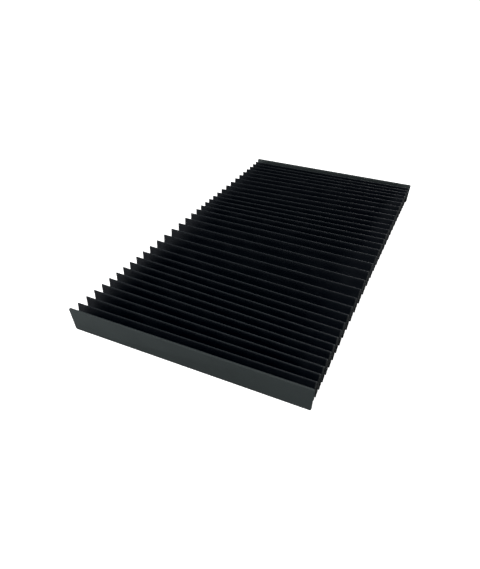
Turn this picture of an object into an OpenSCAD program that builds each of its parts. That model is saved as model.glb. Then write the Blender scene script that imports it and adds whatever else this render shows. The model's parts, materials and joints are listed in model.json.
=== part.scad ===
// Flat bellows way cover: one pleated sheet of coated cloth between two end plates, with a
// stiff support plate standing in each pleat. Millimetres. X runs across the cover, +Y along
// its travel from the near plate to the far plate, and +Z up. The origin is at the middle of
// the footprint, on the surface that the cover lies on.

/* [Cover] */
// Overall length as the cover lies, over both end plates
cover_l = 452; // [400:1:640]
// Number of pleats
pleats = 33; // [20:1:36]
// Width of the cloth across the pleats
cloth_w = 248; // [150:1:300]
// Thickness of the coated cloth
cloth_t = 0.4; // [0.25:0.05:0.6]
// Height of the ridges above the surface
ridge_h = 24.5; // [16:0.5:40]
// Radius of the valley folds, to the middle of the cloth
valley_r = 0.6; // [0.4:0.1:1]
// Air under the valley folds, so that the end plates carry the cover
valley_gap = 0.4; // [0.2:0.1:1]

/* [End plates] */
// How far an end plate stands past the cloth on each side
plate_side = 1; // [0:0.5:10]
// How far an end plate stands above the ridges
plate_rise = 1; // [0:0.5:10]
// Thickness of an end plate
plate_t = 2; // [1:0.5:5]
// Radius of an end plate's corners
plate_corner_r = 1.5; // [0.5:0.5:4]

/* [Hems] */
// How far below an end plate's top edge its hem ends
hem_drop = 5.5; // [2:0.5:12]
// Thickness of the bond between a hem and its plate
bond_t = 0.1; // [0.05:0.05:0.3]

/* [Pleat supports] */
// Thickness of the support plate in each pleat
support_t = 0.8; // [0.5:0.1:1.5]
// How far a support stops short of the cloth's side edges
support_inset = 0.3; // [0.1:0.1:6]
// Air under the supports
support_gap = 0.6; // [0.3:0.1:2]
// Radius of a support's lower corners
support_corner_r = 1; // [0.5:0.5:8]
// Clearance between a support's top edge and the cloth folded over it
support_clear = 0.1; // [0.05:0.05:0.3]

/* [Lay] */
// How much farther the first ridge lies from its end plate, as a share of the mean spacing
end_share = 0.31; // [0:0.01:0.5]
// Swing of the pleat spacing, tight at both ends and open at mid length, as a share of its mean
bunch_share = 0.16; // [0:0.01:0.2]
// Swing of the spacing between open and tight groups of pleats, as a share of its mean
group_share = 0.14; // [0:0.01:0.2]
// Number of pleats from one open group to the next
group_pleats = 15; // [6:1:20]
// Pleat in the middle of an open group
group_first = 13; // [1:1:20]
// Swing of a shorter ripple in the spacing, as a share of its mean
ripple_share = 0.08; // [0:0.01:0.1]
// Number of pleats in one ripple
ripple_pleats = 10; // [4:1:20]
// Angle by which the whole cover lies out of square at mid length
skew_angle = 0.7; // [0:0.1:2]
// Angle by which the pleats fan one way in the near half and back in the far half
fan_angle = 2.7; // [0:0.1:3]

/* [Hidden] */
// Straight pieces in each fold
fold_steps = 4;

plate_color = [0.22, 0.23, 0.23];
cloth_color = [0.06, 0.06, 0.065];
support_color = [0.13, 0.13, 0.14];

clear_l = cover_l - 2 * plate_t;
plate_w = cloth_w + 2 * plate_side;
plate_h = ridge_h + plate_rise;
hem_h = plate_h - hem_drop;
support_l = cloth_w - 2 * support_inset;
ridge_r = support_t / 2 + support_clear + cloth_t / 2;
ridge_z = ridge_h - cloth_t / 2 - ridge_r;
valley_z = valley_gap + cloth_t / 2 + valley_r;
hem_valley_y = clear_l / 2 - bond_t - cloth_t / 2 - valley_r;

// Place of pleat i along the cover, from 0 at the near plate to 1 at the far one
function along(i) = (i - 0.5) / pleats;
function pleat_share(i) =
    1
    - bunch_share * cos(360 * along(i))
    + group_share * cos(360 * (i - group_first) / group_pleats)
    - ripple_share * cos(360 * i / ripple_pleats);
function share_before(i) = i <= 1 ? 0 : share_before(i - 1) + pleat_share(i - 1);
function ridge_share(i) = end_share + share_before(i) + pleat_share(i) / 2;
function ridge_mid(i) = clear_l * (ridge_share(i) / all_shares - 1 / 2);
function turn(i) = skew_angle * sin(180 * along(i)) + fan_angle * sin(360 * along(i));

all_shares = share_before(pleats + 1) + 2 * end_share;
ridge_mids = [for (i = [1:pleats]) ridge_mid(i)];
turns = [for (i = [1:pleats]) turn(i)];

// Places of a ridge and a valley in the section at x, where valleys 0 and last are at the hems
function ridge_y(i, x) = ridge_mids[i - 1] - x * tan(turns[i - 1]);
function valley_y(i, x) =
    i == 0 ? -hem_valley_y
    : i == pleats ? hem_valley_y
    : (ridge_y(i, x) + ridge_y(i + 1, x)) / 2;

// A panel is the line that touches its ridge fold from outside and its valley fold from inside.
// Its angle is that of the normal, and dy is how far the valley lies beyond the ridge.
function chord(dy) = norm([dy, valley_z - ridge_z]);
function lean(dy) = acos((ridge_r + valley_r) / chord(dy));
function bearing(dy) = atan2(valley_z - ridge_z, dy);
function fall_dy(i, x) = valley_y(i, x) - ridge_y(i, x);
function rise_dy(i, x) = valley_y(i - 1, x) - ridge_y(i, x);
function fall_angle(i, x) = bearing(fall_dy(i, x)) + lean(fall_dy(i, x));
function rise_angle(i, x) = 360 + bearing(rise_dy(i, x)) - lean(rise_dy(i, x));

function arc(y, z, r, from, to) = [
    for (k = [0:fold_steps])
        let (a = from + (to - from) * k / fold_steps)
        [y + r * cos(a), z + r * sin(a)]
];
function ridge_fold(i, x, r) = arc(ridge_y(i, x), ridge_z, r, rise_angle(i, x), fall_angle(i, x));
function valley_fold(i, x, r) =
    arc(
        valley_y(i, x), valley_z, r,
        i == 0 ? 180 : 180 + fall_angle(i, x),
        i == pleats ? 360 : 180 + rise_angle(i + 1, x)
    );

// One face of the cloth in the section at x, from the near hem to the far hem
function cloth_face(x, ridge_radius, valley_radius) = [
    [-hem_valley_y - valley_radius, hem_h],
    each valley_fold(0, x, valley_radius),
    for (i = [1:pleats])
        each concat(ridge_fold(i, x, ridge_radius), valley_fold(i, x, valley_radius)),
    [hem_valley_y + valley_radius, hem_h]
];
function upper_face(x) = cloth_face(x, ridge_r + cloth_t / 2, valley_r - cloth_t / 2);
function under_face(x) = cloth_face(x, ridge_r - cloth_t / 2, valley_r + cloth_t / 2);
function placed(x, face) = [for (p = face) [x, p[0], p[1]]];

function pad(i) = i < 10 ? str("0", i) : str(i);
function support_name(i) = str("pleat_support_", pad(i));

module rounded_rectangle(w, h, r) {
    translate([-w / 2 + r, 0]) square([w - 2 * r, h]);
    translate([-w / 2, r]) square([w, h - 2 * r]);
    for (x = [-w / 2 + r, w / 2 - r], y = [r, h - r])
        translate([x, y]) circle(r, $fn = 32);
}

// An end plate whose far face is at y
module end_plate(y) {
    color(plate_color)
        translate([0, y, 0])
            rotate([90, 0, 0])
                linear_extrude(plate_t)
                    rounded_rectangle(plate_w, plate_h, plate_corner_r);
}

module near_end_plate() {
    end_plate(-clear_l / 2);
}

module far_end_plate() {
    end_plate(cover_l / 2);
}

// Triangles between two rows of points that start at a and b, and the same seen from behind
function strip(a, b, steps) = [
    for (j = steps)
        each [[a + j, a + j + 1, b + j + 1], [a + j, b + j + 1, b + j]]
];
function flipped(faces) = [for (f = faces) [f[0], f[2], f[1]]];

// The cloth is lofted between its left and right sections. Both faces are split along the same
// diagonals, so that its thickness stays even where a panel is twisted by the fan.
module pleated_cover() {
    left_x = -cloth_w / 2;
    right_x = cloth_w / 2;
    n = len(upper_face(left_x));
    left_upper = 0;
    left_under = n;
    right_upper = 2 * n;
    right_under = 3 * n;
    last = n - 1;
    steps = [0:last - 1];
    color(cloth_color)
        polyhedron(
            points = concat(
                placed(left_x, upper_face(left_x)),
                placed(left_x, under_face(left_x)),
                placed(right_x, upper_face(right_x)),
                placed(right_x, under_face(right_x))
            ),
            faces = concat(
                strip(left_upper, right_upper, steps),
                flipped(strip(left_under, right_under, steps)),
                strip(left_under, left_upper, steps),
                strip(right_upper, right_under, steps),
                [
                    [left_upper, right_upper, right_under, left_under],
                    [left_upper + last, left_under + last, right_under + last, right_upper + last]
                ]
            )
        );
}

// A support's section, with a rounded top edge that fits under the ridge fold
module support_section() {
    translate([-support_t / 2, support_gap]) square([support_t, ridge_z - support_gap]);
    translate([0, ridge_z]) circle(d = support_t, $fn = 24);
}

// A support's outline seen along the travel, square at the top and rounded at the lower corners
module support_outline() {
    lower_w = support_l - 2 * support_corner_r;
    upper_z = support_gap + support_corner_r;
    translate([-lower_w / 2, support_gap]) square([lower_w, ridge_h - support_gap]);
    translate([-support_l / 2, upper_z]) square([support_l, ridge_h - upper_z]);
    for (x = [-lower_w / 2, lower_w / 2])
        translate([x, upper_z]) circle(support_corner_r, $fn = 32);
}

// The stiff plate that stands in pleat i
module pleat_support(i) {
    color(support_color)
        translate([0, ridge_mids[i - 1], 0])
            rotate([0, 0, -turns[i - 1]])
                intersection() {
                    rotate([90, 0, 90]) linear_extrude(support_l, center = true) support_section();
                    rotate([90, 0, 0]) linear_extrude(2 * support_t, center = true) support_outline();
                }
}

near_end_plate();
far_end_plate();
pleated_cover();
for (i = [1:pleats])
    pleat_support(i);
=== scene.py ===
"""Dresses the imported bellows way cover: folded cloth, end plates, pleat supports and stage."""

import json
import math

import bmesh
import bpy
import numpy as np
from bpy.props import FloatProperty, FloatVectorProperty, IntProperty, PointerProperty
from mathutils import Matrix, Vector

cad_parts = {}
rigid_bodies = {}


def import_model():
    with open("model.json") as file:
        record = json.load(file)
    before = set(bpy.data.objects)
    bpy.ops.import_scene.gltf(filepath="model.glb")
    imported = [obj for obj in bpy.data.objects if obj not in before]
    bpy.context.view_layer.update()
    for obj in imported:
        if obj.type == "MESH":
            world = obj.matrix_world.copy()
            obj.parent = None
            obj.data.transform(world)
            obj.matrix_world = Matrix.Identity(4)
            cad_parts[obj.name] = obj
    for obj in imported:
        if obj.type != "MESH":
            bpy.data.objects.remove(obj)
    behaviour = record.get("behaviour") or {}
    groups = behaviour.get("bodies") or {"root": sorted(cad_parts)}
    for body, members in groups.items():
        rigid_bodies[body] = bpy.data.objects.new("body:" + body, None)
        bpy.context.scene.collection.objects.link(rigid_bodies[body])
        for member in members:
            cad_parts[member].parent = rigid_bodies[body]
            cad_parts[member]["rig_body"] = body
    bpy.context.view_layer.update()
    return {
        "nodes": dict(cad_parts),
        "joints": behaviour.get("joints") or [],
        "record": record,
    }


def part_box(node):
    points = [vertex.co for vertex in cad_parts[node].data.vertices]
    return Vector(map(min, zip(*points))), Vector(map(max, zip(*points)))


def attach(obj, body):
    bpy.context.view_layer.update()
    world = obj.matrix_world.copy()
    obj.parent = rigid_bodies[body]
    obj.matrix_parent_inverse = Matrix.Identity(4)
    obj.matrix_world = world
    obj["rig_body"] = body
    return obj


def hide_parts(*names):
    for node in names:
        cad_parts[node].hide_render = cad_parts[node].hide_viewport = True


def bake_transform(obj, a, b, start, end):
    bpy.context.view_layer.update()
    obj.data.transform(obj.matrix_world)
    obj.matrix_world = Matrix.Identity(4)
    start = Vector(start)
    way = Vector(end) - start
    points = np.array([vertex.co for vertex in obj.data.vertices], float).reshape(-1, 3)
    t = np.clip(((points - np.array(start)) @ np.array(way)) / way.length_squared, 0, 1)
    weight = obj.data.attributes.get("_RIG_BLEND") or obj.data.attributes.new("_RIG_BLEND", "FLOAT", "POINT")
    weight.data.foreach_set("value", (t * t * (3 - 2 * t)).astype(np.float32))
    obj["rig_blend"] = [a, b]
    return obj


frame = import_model()

bl_info = {
    "name": "Bellows Way Cover",
    "version": (1, 0, 0),
    "blender": (4, 5, 0),
    "location": "View3D > Sidebar > Way Cover",
    "description": "Dresses a flat bellows way cover around its packed solids",
    "category": "Object",
}

NEAR_PLATE = "near_end_plate"
FAR_PLATE = "far_end_plate"
COVER = "pleated_cover"
SUPPORTS = sorted(name for name in frame["nodes"] if name.startswith("pleat_support_"))

# Edges flatter than these are shaded smooth, and only sharper ones are eased
CLOTH_SMOOTH_ANGLE = math.radians(40)
PLATE_SMOOTH_ANGLE = math.radians(35)
PLATE_EASE_ANGLE = math.radians(60)
CORNER_SEGMENTS = 6
EASE_SEGMENTS = 3

# Turn of the hollow's swing from one panel to the next, so that no two neighbours match
GOLDEN_SHARE = (math.sqrt(5) - 1) / 2

# Where each softbox stands, and its width and height
SOFTBOXES = {
    "front": ((-0.5, -1.5, 2.8), (1.5, 1.5)),
    "left": ((-1.05, -0.72, 0.03), (0.8, 0.2)),
    "right": ((1.2, -0.5, 0.03), (0.4, 0.2)),
    "rear": ((0.3, 1.8, 0.5), (0.6, 0.6)),
}
BACKDROP_SEGMENTS = 48
NEAREST_VIEW = 0.01


def length(name, description, default):
    """A size in metres."""
    return FloatProperty(
        name=name, description=description, default=default, min=0, precision=5, unit="LENGTH"
    )


def amount(name, description, default, low=0.0, high=100.0):
    """A number without a unit."""
    return FloatProperty(
        name=name, description=description, default=default, min=low, max=high, precision=4
    )


def count(name, description, default, low, high):
    """A whole number."""
    return IntProperty(name=name, description=description, default=default, min=low, max=high)


def tone(name, description, default):
    """A colour in linear light."""
    return FloatVectorProperty(
        name=name, description=description, default=default, min=0, max=1, size=3, subtype="COLOR"
    )


def power(name, description, default):
    """A light's power in watts."""
    return FloatProperty(name=name, description=description, default=default, min=0, unit="POWER")


class ClothSettings(bpy.types.PropertyGroup):
    """Sizes and colours of the folded cloth."""

    thickness: length("Thickness", "Thickness of the coated cloth", 0.0004)
    ridge_radius: length(
        "Ridge radius", "Radius of the ridge folds, to the middle of the cloth", 0.0007
    )
    valley_radius: length(
        "Valley radius", "Radius of the valley folds, to the middle of the cloth", 0.0006
    )
    hem_drop: length("Hem drop", "How far below an end plate's top edge its hem ends", 0.0055)
    hollow: amount(
        "Hollow", "How steeply the panels leave their ridges, where 1 is flat", 1.4, low=1, high=2
    )
    hollow_swing: amount(
        "Hollow swing", "How far the hollow swings along a pleat", 0.1, high=0.5
    )
    hollow_wave: length("Hollow wave", "Length of the swings along a pleat", 0.11)
    weave_pitch: length("Weave pitch", "Distance from one thread of the weave to the next", 0.0006)
    margin: length("Margin", "Width of the frayed margin along the side edges", 0.0015)
    margin_full: amount("Margin full", "Share of the margin that is frayed in full", 0.3, high=1)
    # How sharply the rubbing and the painted crest highlight fade beside each crest
    wear_power: count("Wear power", "How sharply the wear fades beside a crest", 6, 1, 12)
    columns: count("Columns", "Faces across the cloth", 40, 8, 60)
    fold_steps: count("Fold steps", "Faces round each fold", 6, 4, 8)
    panel_steps: count("Panel steps", "Faces down each panel", 5, 2, 6)
    color: tone("Coating", "Colour of the coating", (0.0119, 0.0132, 0.0156))
    mottle_color: tone(
        "Mottle", "Colour of the coating where it is a little chalky", (0.0139, 0.0154, 0.0179)
    )
    # Rubbed ridges, painted lighter partly as a highlight where the crests catch the light
    wear_color: tone("Wear", "Colour of the rubbed ridges", (0.0375, 0.0432, 0.0485))
    # Pale cut threads, painted paler still as a highlight where the edges catch the light
    edge_color: tone("Cut edge", "Colour of the cut edges", (0.105, 0.110, 0.110))


class PlateSettings(bpy.types.PropertyGroup):
    """Sizes and colours of the end plates."""

    corner_radius: length("Corner radius", "Radius of the plates' corners", 0.0015)
    edge_radius: length("Edge radius", "Radius of the eased edges", 0.0003)
    rim: length("Rim", "Width of the rubbed rim", 0.0006)
    color: tone("Finish", "Colour of the matt finish", (0.0495, 0.0575, 0.0581))
    mottle_color: tone(
        "Mottle", "Colour of the finish where it is a little paler", (0.0537, 0.0626, 0.0633)
    )
    edge_color: tone("Edges", "Colour of the rubbed edges", (0.0520, 0.0603, 0.0612))


class SupportSettings(bpy.types.PropertyGroup):
    """Sizes and colours of the pleat supports."""

    end_start: length("End start", "How far from its ends a support begins to turn pale", 0.0005)
    end_full: length("End full", "How far from its ends a support is fully pale", 0.0002)
    color: tone("Plastic", "Colour of the plastic sheet", (0.022, 0.025, 0.027))
    streak_color: tone(
        "Streaks", "Colour of the streaks from rolling the sheet", (0.030, 0.033, 0.035)
    )
    # Pale cut ends, painted paler still as a highlight where they catch the light
    end_color: tone("Cut ends", "Colour of the cut ends", (0.085, 0.090, 0.090))


class StageSettings(bpy.types.PropertyGroup):
    """Floor, backdrop, lights and camera."""

    floor_size: length("Floor size", "Side of the floor, and width of the backdrop over it", 16.0)
    floor_color: tone("Floor", "Colour of the floor and the backdrop", (0.60, 0.60, 0.60))
    floor_glow: amount("Glow", "Brightness that the floor and the backdrop add for the camera", 1.0)
    sky: amount("Sky", "Strength of the even light from all round", 0.12)
    front_power: power("Front", "Power of the high light in front", 70)
    left_power: power("Left", "Power of the low light on the left", 9)
    right_power: power("Right", "Power of the low light on the right", 6)
    rear_power: power("Rear", "Power of the light behind", 28)
    black_point: amount("Black point", "Light that the picture shows as black", 0.0057)
    camera_place: FloatVectorProperty(
        name="Camera place",
        description="Where the camera stands",
        default=(0.1669, -0.4419, 0.2686),
        size=3,
        subtype="TRANSLATION",
        unit="LENGTH",
    )
    camera_turn: FloatVectorProperty(
        name="Camera turn",
        description="How the camera is turned",
        default=(math.radians(43.80), math.radians(-0.59), math.radians(24.57)),
        size=3,
        subtype="EULER",
    )
    camera_shift: FloatVectorProperty(
        name="Camera shift",
        description="How far the picture is cropped from the camera's middle",
        default=(-0.0221, 0.1554),
        size=2,
    )
    lens: FloatProperty(
        name="Lens", description="Focal length", default=25.78, min=1, unit="CAMERA"
    )


def is_socket(value):
    """Whether a value is a node's output, and not a number or a colour."""
    return isinstance(value, bpy.types.NodeSocket)


def opaque(color):
    """A colour with its alpha."""
    return (*color, 1)


class Finish:
    """A material in the making: one shader, with short calls that add a node or join two."""

    def __init__(self, name):
        self.material = bpy.data.materials.new(name)
        self.material.use_nodes = True
        self.tree = self.material.node_tree
        self.shader = self.tree.nodes["Principled BSDF"]
        self.coordinates = self.add("ShaderNodeTexCoord")

    def add(self, kind, inputs=(), **settings):
        """Adds a node with its settings, and with the values or links of its inputs."""
        node = self.tree.nodes.new(kind)
        for name, value in settings.items():
            setattr(node, name, value)
        for name, value in dict(inputs).items():
            self.put(node, name, value)
        return node

    def put(self, node, name, value):
        """Gives a node's input a value, or a link from another node's output."""
        if is_socket(value):
            self.tree.links.new(value, node.inputs[name])
        else:
            node.inputs[name].default_value = value

    def math(self, operation, a, b=0.0):
        """One sum of two values or outputs."""
        return self.add("ShaderNodeMath", {0: a, 1: b}, operation=operation).outputs[0]

    def noise(self, vector, scale, detail=3.0):
        """Soft noise with that many cells to the metre."""
        inputs = {"Vector": vector, "Scale": scale, "Detail": detail}
        return self.add("ShaderNodeTexNoise", inputs).outputs["Fac"]

    def fade(self, value, start, end, low=0.0, high=1.0):
        """Maps a stretch of a value to another range, with soft ends."""
        inputs = {"Value": value, "From Min": start, "From Max": end, "To Min": low, "To Max": high}
        node = self.add("ShaderNodeMapRange", inputs, interpolation_type="SMOOTHSTEP")
        return node.outputs["Result"]

    def mix(self, factor, a, b):
        """One colour to the other by a factor."""
        colors = [color if is_socket(color) else opaque(color) for color in (a, b)]
        node = self.add("ShaderNodeMix", data_type="RGBA")
        names = ("Factor_Float", "A_Color", "B_Color")
        sockets = {socket.identifier: place for place, socket in enumerate(node.inputs)}
        for name, value in zip(names, (factor, *colors)):
            self.put(node, sockets[name], value)
        return next(socket for socket in node.outputs if socket.identifier == "Result_Color")

    def bump(self, height, distance, strength):
        """Raises the surface by that distance where the height is one."""
        inputs = {"Height": height, "Distance": distance, "Strength": strength}
        self.put(self.shader, "Normal", self.add("ShaderNodeBump", inputs).outputs["Normal"])

    def surface(self, **inputs):
        """Sets the shader's own inputs, named as on the shader with underscores for spaces."""
        for name, value in inputs.items():
            self.put(self.shader, name.replace("_", " "), value)
        return self.material


def coated_cloth(cloth, cut_size):
    """Black coating on a plain weave, chalky in places; ridges and side edges rubbed and painted lighter as
    a highlight.
    """
    finish = Finish("coated_cloth")
    cut = finish.add("ShaderNodeMapping", {
        "Vector": finish.coordinates.outputs["UV"], "Scale": (cut_size[1],) * 3,
    }).outputs["Vector"]
    axes = finish.add("ShaderNodeSeparateXYZ", {"Vector": cut})
    turns = math.tau / (2 * cloth.weave_pitch)
    warp = finish.math("SINE", finish.math("MULTIPLY", axes.outputs["X"], turns))
    weft = finish.math("SINE", finish.math("MULTIPLY", axes.outputs["Y"], turns))
    weave = finish.math("MULTIPLY_ADD", finish.math("MULTIPLY", warp, weft), 0.5)
    mottle = finish.fade(finish.noise(cut, scale=45, detail=5), 0.40, 0.75)
    # Crest mask: real rubbing plus a painted highlight along each ridge
    crest = finish.add("ShaderNodeAttribute", attribute_name="wear").outputs["Fac"]
    patches = finish.fade(finish.noise(cut, scale=60, detail=2), 0.2, 0.7, low=0.7, high=1.0)
    rub = finish.math("MULTIPLY", crest, patches)
    half = cut_size[0] / 2
    out = finish.math("ABSOLUTE", finish.math("SUBTRACT", axes.outputs["X"], half))
    # Frayed side margin in the cut-edge colour, whose pale threads are painted paler still as a highlight
    margin = finish.fade(out, half - cloth.margin, half - cloth.margin_full * cloth.margin)
    threads = finish.fade(finish.noise(cut, scale=700, detail=2), 0.3, 0.6, low=0.15, high=0.45)
    frayed = finish.math("MULTIPLY", margin, threads)
    coating = finish.mix(mottle, cloth.color, cloth.mottle_color)
    smooth = finish.math("SUBTRACT", 1, rub)
    finish.bump(finish.math("MULTIPLY", weave, smooth), distance=0.00006, strength=0.35)
    return finish.surface(
        Base_Color=finish.mix(frayed, finish.mix(rub, coating, cloth.wear_color), cloth.edge_color),
        Roughness=finish.fade(mottle, 0, 1, 0.58, 0.68),
        Specular_IOR_Level=0.06,
    )


def cut_edge(cloth):
    """Cut edge of the cloth, where the pale threads show between the coating, painted paler still as a
    highlight.
    """
    finish = Finish("cut_edge")
    place = finish.coordinates.outputs["Object"]
    threads = finish.fade(finish.noise(place, scale=1500, detail=2), 0.35, 0.65)
    return finish.surface(
        Base_Color=finish.mix(threads, cloth.mottle_color, cloth.edge_color),
        Roughness=0.9,
        Specular_IOR_Level=0.1,
    )


def plate_finish(plate):
    """Fine matt finish, a little uneven and rubbed paler along the edges."""
    finish = Finish("plate_finish")
    place = finish.coordinates.outputs["Object"]
    low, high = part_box(NEAR_PLATE)
    axes = finish.add("ShaderNodeSeparateXYZ", {"Vector": place})
    mid_z = (low.z + high.z) / 2
    up = finish.math("ABSOLUTE", finish.math("SUBTRACT", axes.outputs["Z"], mid_z))
    out = finish.math("ABSOLUTE", axes.outputs["X"])
    rim = finish.math(
        "MAXIMUM",
        finish.fade(up, high.z - mid_z - plate.rim, high.z - mid_z),
        finish.fade(out, high.x - plate.rim, high.x),
    )
    patches = finish.fade(finish.noise(place, scale=220, detail=4), 0.35, 0.7, low=0.2, high=0.8)
    rub = finish.math("MULTIPLY", rim, patches)
    grain = finish.noise(place, scale=2600, detail=2)
    mottle = finish.fade(finish.noise(place, scale=28, detail=4), 0.3, 0.7)
    face = finish.mix(mottle, plate.color, plate.mottle_color)
    finish.bump(grain, distance=0.00004, strength=0.25)
    return finish.surface(
        Base_Color=finish.mix(rub, face, plate.edge_color),
        Roughness=finish.fade(mottle, 0, 1, 0.56, 0.64),
        Specular_IOR_Level=0.05,
    )


def support_plastic(support):
    """Dark rolled plastic sheet with faint streaks along the pleat, and pale cut ends painted paler still as
    a highlight.
    """
    finish = Finish("support_plastic")
    place = finish.coordinates.outputs["Object"]
    stretched = finish.add("ShaderNodeMapping", {
        "Vector": place, "Scale": (12, 300, 900),
    }).outputs["Vector"]
    streaks = finish.fade(finish.noise(stretched, scale=1, detail=3), 0.35, 0.7)
    axes = finish.add("ShaderNodeSeparateXYZ", {"Vector": place})
    out = finish.math("ABSOLUTE", axes.outputs["X"])
    end_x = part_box(SUPPORTS[0])[1].x
    # Ends of each support, paler plastic with a painted highlight
    ends = finish.fade(out, end_x - support.end_start, end_x - support.end_full)
    finish.bump(streaks, distance=0.00003, strength=0.2)
    sheet = finish.mix(streaks, support.color, support.streak_color)
    return finish.surface(
        Base_Color=finish.mix(ends, sheet, support.end_color),
        Roughness=finish.fade(streaks, 0, 1, 0.42, 0.52),
        Specular_IOR_Level=0.35,
    )


def floor_paper(stage):
    """Pale matt paper, faintly uneven, that glows white for the camera."""
    finish = Finish("floor_paper")
    place = finish.coordinates.outputs["Object"]
    uneven = finish.fade(finish.noise(place, scale=3, detail=3), 0.3, 0.7)
    darker = 0.985
    shade = [darker * value for value in stage.floor_color]
    return finish.surface(
        Base_Color=finish.mix(uneven, shade, stage.floor_color),
        Roughness=0.9,
        Specular_IOR_Level=0.1,
        Emission_Color=opaque((1, 1, 1)),
        Emission_Strength=stage.floor_glow,
    )


def ridge_line(name):
    """Mid place and slope of a support, whose plate stands along y = mid + slope * x."""
    points = np.array([vertex.co for vertex in frame["nodes"][name].data.vertices])
    slope, mid = np.polyfit(points[:, 0], points[:, 1], 1)
    return mid, slope


def travel_share(name):
    """Share of the far plate's travel that a support takes."""
    body = frame["nodes"][name]["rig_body"]
    joint = next(joint["name"] for joint in frame["joints"] if joint["child"] == body)
    couplings = frame["record"]["behaviour"]["couplings"]
    return next(coupling["ratio"] for coupling in couplings if coupling["joint"] == joint)


class Folds:
    """The folded sheet in its columns at x, as rows of points from the near hem to the far hem.

    Each row holds y and z of the middle of the cloth, its crest rubbing and painted highlight
    from 0 to 1, and its share of the travel.
    """

    def __init__(self, cloth, x):
        self.cloth = cloth
        self.x = x
        low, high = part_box(COVER)
        half = cloth.thickness / 2
        self.ridge_z = high.z - half - cloth.ridge_radius
        self.valley_z = low.z + half + cloth.valley_radius
        self.hem_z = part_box(NEAR_PLATE)[1].z - cloth.hem_drop
        self.ridges = [mid + slope * x for mid, slope in map(ridge_line, SUPPORTS)]
        near_y = low.y + half + cloth.valley_radius
        far_y = high.y - half - cloth.valley_radius
        between = [(a + b) / 2 for a, b in zip(self.ridges, self.ridges[1:])]
        self.valleys = [np.full_like(x, near_y), *between, np.full_like(x, far_y)]
        self.ridge_travel = [travel_share(name) for name in SUPPORTS]
        shared = [(a + b) / 2 for a, b in zip(self.ridge_travel, self.ridge_travel[1:])]
        self.valley_travel = [0.0, *shared, 1.0]
        self.rows = []

    def panel_angle(self, ridge, valley):
        """Angle of the outer normal of the panel that touches both folds."""
        dy, dz = valley - ridge, self.valley_z - self.ridge_z
        lean = np.arccos((self.cloth.ridge_radius + self.cloth.valley_radius) / np.hypot(dy, dz))
        return np.arctan2(dz, dy) + np.where(dy > 0, lean, math.tau - lean)

    def add_row(self, y, z, wear, travel):
        self.rows.append((y + 0 * self.x, z + 0 * self.x, wear, travel))

    def add_hem(self, y, from_z, to_z, travel):
        for z in np.linspace(from_z, to_z, self.cloth.panel_steps):
            self.add_row(y, z, 0.0, travel)

    def add_fold(self, y, z, radius, start, end, rubbed, travel):
        """Rows round a fold. A ridge is rubbed, and painted lighter as a highlight, most along its crest."""
        steps = self.cloth.fold_steps
        for step in range(steps + 1):
            angle = start + (end - start) * step / steps
            wear = math.sin(math.pi * step / steps) ** self.cloth.wear_power if rubbed else 0.0
            self.add_row(y + radius * np.cos(angle), z + radius * np.sin(angle), wear, travel)

    def add_panel(self, to_fold, panel):
        """Rows between the last fold and the next one, which the call to_fold adds.

        Even panels rise to a ridge and odd ones fall from it. Both hang hollow, and their shares of
        the travel follow.
        """
        from_y, from_z, _, from_travel = self.rows[-1]
        first = len(self.rows)
        to_fold()
        to_y, to_z, _, to_travel = self.rows[first]
        phase = math.tau * (self.x / self.cloth.hollow_wave + panel * GOLDEN_SHARE)
        hollow = self.cloth.hollow
        swung = hollow + self.cloth.hollow_swing * np.sin(phase)
        rows = []
        for step in range(1, self.cloth.panel_steps):
            share = step / self.cloth.panel_steps
            if panel % 2:
                run, mean_run = share ** swung, share ** hollow
            else:
                run, mean_run = 1 - (1 - share) ** swung, 1 - (1 - share) ** hollow
            y = from_y + (to_y - from_y) * run
            z = from_z + (to_z - from_z) * share
            rows.append((y, z, 0.0, from_travel + (to_travel - from_travel) * mean_run))
        self.rows[first:first] = rows

    def add_valley(self, place, start, end):
        self.add_fold(
            self.valleys[place], self.valley_z, self.cloth.valley_radius, start, end,
            rubbed=False, travel=self.valley_travel[place],
        )

    def fold(self):
        """Folds the whole sheet and returns its rows."""
        radius, valley_radius = self.cloth.ridge_radius, self.cloth.valley_radius
        hem_foot = self.valley_z + valley_radius
        pleats = len(self.ridges)
        rises = [self.panel_angle(*folds) for folds in zip(self.ridges, self.valleys)]
        falls = [self.panel_angle(*folds) for folds in zip(self.ridges, self.valleys[1:])]
        self.add_hem(self.valleys[0] - valley_radius, self.hem_z, hem_foot, travel=0.0)
        self.add_valley(0, math.pi, math.pi + rises[0])
        for pleat, (ridge, rise, fall) in enumerate(zip(self.ridges, rises, falls)):
            travel = self.ridge_travel[pleat]
            last = pleat == pleats - 1
            next_rise = math.pi if last else rises[pleat + 1]
            self.add_panel(
                lambda: self.add_fold(
                    ridge, self.ridge_z, radius, rise, fall, rubbed=True, travel=travel
                ),
                2 * pleat,
            )
            self.add_panel(
                lambda: self.add_valley(pleat + 1, math.pi + fall, math.pi + next_rise),
                2 * pleat + 1,
            )
        self.add_hem(self.valleys[-1] + valley_radius, hem_foot, self.hem_z, travel=1.0)
        return self.rows


def set_values(mesh, name, values):
    """Stores one number for each vertex under a name."""
    attribute = mesh.attributes.get(name) or mesh.attributes.new(name, "FLOAT", "POINT")
    attribute.data.foreach_set("value", np.asarray(values, np.float32).ravel())


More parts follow.
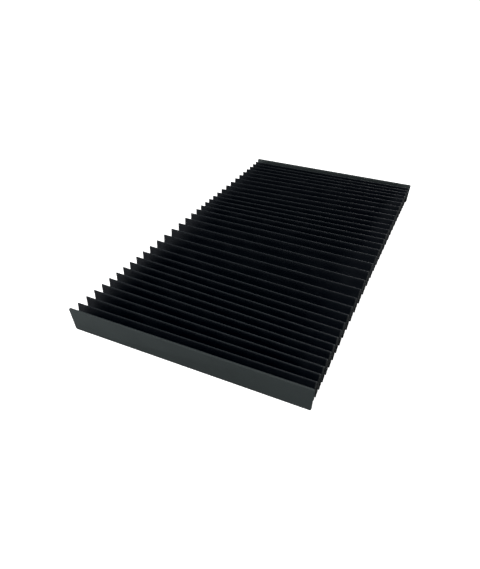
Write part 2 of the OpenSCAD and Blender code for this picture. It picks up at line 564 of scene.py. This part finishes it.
def folded_cloth(cloth):
    """Cuts the sheet as a flat grid, folds it over the supports and gives it its thickness.

    Returns the sheet and the size that it was cut to.
    """
    low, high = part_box(COVER)
    x = np.linspace(low.x, high.x, cloth.columns + 1)
    rows = Folds(cloth, x).fold()
    y, z = (np.array([row[part] for row in rows]) for part in (0, 1))
    wear, travel = (np.array([row[part] for row in rows]) for part in (2, 3))
    middle = cloth.columns // 2
    steps = np.hypot(np.diff(y[:, middle]), np.diff(z[:, middle]))
    down = np.concatenate([[0], np.cumsum(steps)])
    cut = (high.x - low.x, float(down[-1]))

    bpy.ops.object.select_all(action="DESELECT")
    bpy.ops.mesh.primitive_grid_add(
        x_subdivisions=cloth.columns, y_subdivisions=len(rows) - 1, size=1
    )
    sheet = bpy.context.active_object
    sheet.name = sheet.data.name = "pleated_cloth"
    mesh = sheet.data
    flat = np.array([vertex.co for vertex in mesh.vertices])
    column = np.rint((flat[:, 0] + 0.5) * cloth.columns).astype(int)
    row = np.rint((flat[:, 1] + 0.5) * (len(rows) - 1)).astype(int)
    folded = np.stack([x[column], y[row, column], z[row, column]], 1)
    mesh.vertices.foreach_set("co", folded.ravel())
    set_values(mesh, "wear", wear[row])
    set_values(mesh, "travel", travel[row])
    corner = np.zeros(len(mesh.loops), int)
    mesh.loops.foreach_get("vertex_index", corner)
    cloth_place = np.stack([x[column] - low.x, down[row]], 1) / cut[1]
    mesh.uv_layers.active.data.foreach_set("uv", cloth_place[corner].ravel())
    mesh.update()

    mesh.materials.append(coated_cloth(cloth, cut))
    mesh.materials.append(cut_edge(cloth))
    shell = sheet.modifiers.new("thickness", "SOLIDIFY")
    shell.thickness = cloth.thickness
    shell.offset = 0
    shell.material_offset_rim = 1
    bpy.ops.object.modifier_apply(modifier=shell.name)
    bpy.ops.object.shade_smooth_by_angle(angle=CLOTH_SMOOTH_ANGLE)
    return sheet, cut


def hang_between_plates(sheet):
    """Lets the cloth follow both plates, each ridge by the same share as its support."""
    travel = np.zeros(len(sheet.data.vertices), np.float32)
    sheet.data.attributes["travel"].data.foreach_get("value", travel)
    sheet.data.attributes.remove(sheet.data.attributes["travel"])
    low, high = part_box(COVER)
    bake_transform(sheet, "near_end", "far_end", start=(0, low.y, 0), end=(0, high.y, 0))
    set_values(sheet.data, "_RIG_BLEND", travel)


def end_plate(node, plate):
    """A plate of the node's size, with round corners and eased edges."""
    low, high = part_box(node)
    bpy.ops.object.select_all(action="DESELECT")
    bpy.ops.mesh.primitive_cube_add(size=1, location=(low + high) / 2, scale=high - low)
    piece = bpy.context.active_object
    bpy.ops.object.transform_apply(location=True, rotation=True, scale=True)
    bpy.ops.object.mode_set(mode="EDIT")
    bpy.ops.mesh.select_mode(type="EDGE")
    bpy.ops.mesh.select_all(action="DESELECT")
    shape = bmesh.from_edit_mesh(piece.data)
    for edge in shape.edges:
        start, end = (vertex.co for vertex in edge.verts)
        edge.select_set(abs(end.y - start.y) > (high.y - low.y) / 2)
    bmesh.update_edit_mesh(piece.data)
    bpy.ops.mesh.bevel(offset=plate.corner_radius, segments=CORNER_SEGMENTS, affect="EDGES")
    bpy.ops.object.mode_set(mode="OBJECT")
    ease = piece.modifiers.new("eased_edges", "BEVEL")
    ease.width = plate.edge_radius
    ease.segments = EASE_SEGMENTS
    ease.limit_method = "ANGLE"
    ease.angle_limit = PLATE_EASE_ANGLE
    bpy.ops.object.modifier_apply(modifier=ease.name)
    bpy.ops.object.shade_smooth_by_angle(angle=PLATE_SMOOTH_ANGLE)
    return piece


def copied(piece, name, shift):
    """A copy of a piece with its own mesh, moved by shift."""
    copy = piece.copy()
    copy.data = piece.data.copy()
    copy.name = copy.data.name = name
    copy.data.transform(Matrix.Translation(shift))
    bpy.context.collection.objects.link(copy)
    return copy


def soft_light(name, power):
    """A softbox that faces the middle of the cover."""
    place, size = SOFTBOXES[name]
    light = bpy.data.lights.new(name, "AREA")
    light.shape = "RECTANGLE"
    light.size, light.size_y = size
    light.energy = power
    holder = bpy.data.objects.new(name, light)
    holder.location = place
    holder.rotation_euler = (-Vector(place)).to_track_quat("-Z", "Y").to_euler()
    bpy.context.collection.objects.link(holder)


class COVER_OT_fold_cloth(bpy.types.Operator):
    """Fold the cloth over the supports and hem it to the end plates"""

    bl_idname = "cover.fold_cloth"
    bl_label = "Fold the Cloth"

    def execute(self, context):
        sheet, cut = folded_cloth(context.scene.cover_cloth)
        hang_between_plates(sheet)
        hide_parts(COVER)
        return {"FINISHED"}


class COVER_OT_make_end_plates(bpy.types.Operator):
    """Make the two end plates with their corners, edges and finish"""

    bl_idname = "cover.make_end_plates"
    bl_label = "Make the End Plates"

    def execute(self, context):
        plate = context.scene.cover_plate
        near = end_plate(NEAR_PLATE, plate)
        near.name = near.data.name = "near_plate"
        near.data.materials.append(plate_finish(plate))
        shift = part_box(FAR_PLATE)[0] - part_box(NEAR_PLATE)[0]
        far = copied(near, "far_plate", shift)
        for piece, node, body in ((near, NEAR_PLATE, "near_end"), (far, FAR_PLATE, "far_end")):
            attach(piece, body)
            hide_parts(node)
        return {"FINISHED"}


class COVER_OT_finish_supports(bpy.types.Operator):
    """Give the support in each pleat its plastic finish"""

    bl_idname = "cover.finish_supports"
    bl_label = "Finish the Supports"

    def execute(self, context):
        plastic = support_plastic(context.scene.cover_support)
        for name in SUPPORTS:
            slots = frame["nodes"][name].data.materials
            slots.clear()
            slots.append(plastic)
        return {"FINISHED"}


class COVER_OT_set_stage(bpy.types.Operator):
    """Set the floor, the backdrop, the lights and the camera"""

    bl_idname = "cover.set_stage"
    bl_label = "Set the Stage"

    def execute(self, context):
        stage = context.scene.cover_stage
        bpy.ops.object.select_all(action="DESELECT")
        bpy.ops.mesh.primitive_plane_add(size=stage.floor_size)
        floor = context.active_object
        floor.name = floor.data.name = "floor"
        bpy.ops.mesh.primitive_uv_sphere_add(
            segments=BACKDROP_SEGMENTS,
            ring_count=BACKDROP_SEGMENTS // 2,
            radius=stage.floor_size / 2,
        )
        backdrop = context.active_object
        backdrop.name = backdrop.data.name = "backdrop"
        bpy.ops.object.shade_smooth()
        paper = floor_paper(stage)
        for piece in (floor, backdrop):
            piece.data.materials.append(paper)
            piece.visible_diffuse = piece.visible_glossy = piece.visible_shadow = False

        world = bpy.data.worlds.new("studio")
        world.use_nodes = True
        sky = world.node_tree.nodes["Background"].inputs
        sky["Color"].default_value = opaque((1, 1, 1))
        sky["Strength"].default_value = stage.sky
        context.scene.world = world
        for name in SOFTBOXES:
            soft_light(name, getattr(stage, f"{name}_power"))

        view = context.scene.view_settings
        view.view_transform = "Standard"
        view.use_curve_mapping = True
        view.curve_mapping.black_level = (stage.black_point,) * 3
        view.curve_mapping.update()

        lens = bpy.data.cameras.new("camera")
        lens.lens = stage.lens
        lens.shift_x, lens.shift_y = stage.camera_shift
        lens.clip_start = NEAREST_VIEW
        camera = bpy.data.objects.new("camera", lens)
        camera.location = stage.camera_place
        camera.rotation_euler = stage.camera_turn
        context.collection.objects.link(camera)
        context.scene.camera = camera
        return {"FINISHED"}


class COVER_PT_sidebar(bpy.types.Panel):
    """Steps of the way cover, in order"""

    bl_idname = "COVER_PT_sidebar"
    bl_label = "Way Cover"
    bl_space_type = "VIEW_3D"
    bl_region_type = "UI"
    bl_category = "Way Cover"

    def draw(self, context):
        for operator in OPERATORS:
            self.layout.operator(operator.bl_idname)
        for name in SETTINGS:
            settings = getattr(context.scene, name)
            box = self.layout.box()
            for value in settings.bl_rna.properties:
                if value.identifier in settings.__annotations__:
                    box.prop(settings, value.identifier)


SETTINGS = {
    "cover_cloth": ClothSettings,
    "cover_plate": PlateSettings,
    "cover_support": SupportSettings,
    "cover_stage": StageSettings,
}
OPERATORS = (
    COVER_OT_fold_cloth,
    COVER_OT_make_end_plates,
    COVER_OT_finish_supports,
    COVER_OT_set_stage,
)
CLASSES = (*SETTINGS.values(), *OPERATORS, COVER_PT_sidebar)


def register():
    for cls in CLASSES:
        bpy.utils.register_class(cls)
    for name, settings in SETTINGS.items():
        setattr(bpy.types.Scene, name, PointerProperty(type=settings))


def unregister():
    for name in SETTINGS:
        delattr(bpy.types.Scene, name)
    for cls in reversed(CLASSES):
        bpy.utils.unregister_class(cls)


def main():
    register()
    bpy.ops.cover.fold_cloth()
    bpy.ops.cover.make_end_plates()
    bpy.ops.cover.finish_supports()
    bpy.ops.cover.set_stage()


if __name__ == "__main__":
    main()
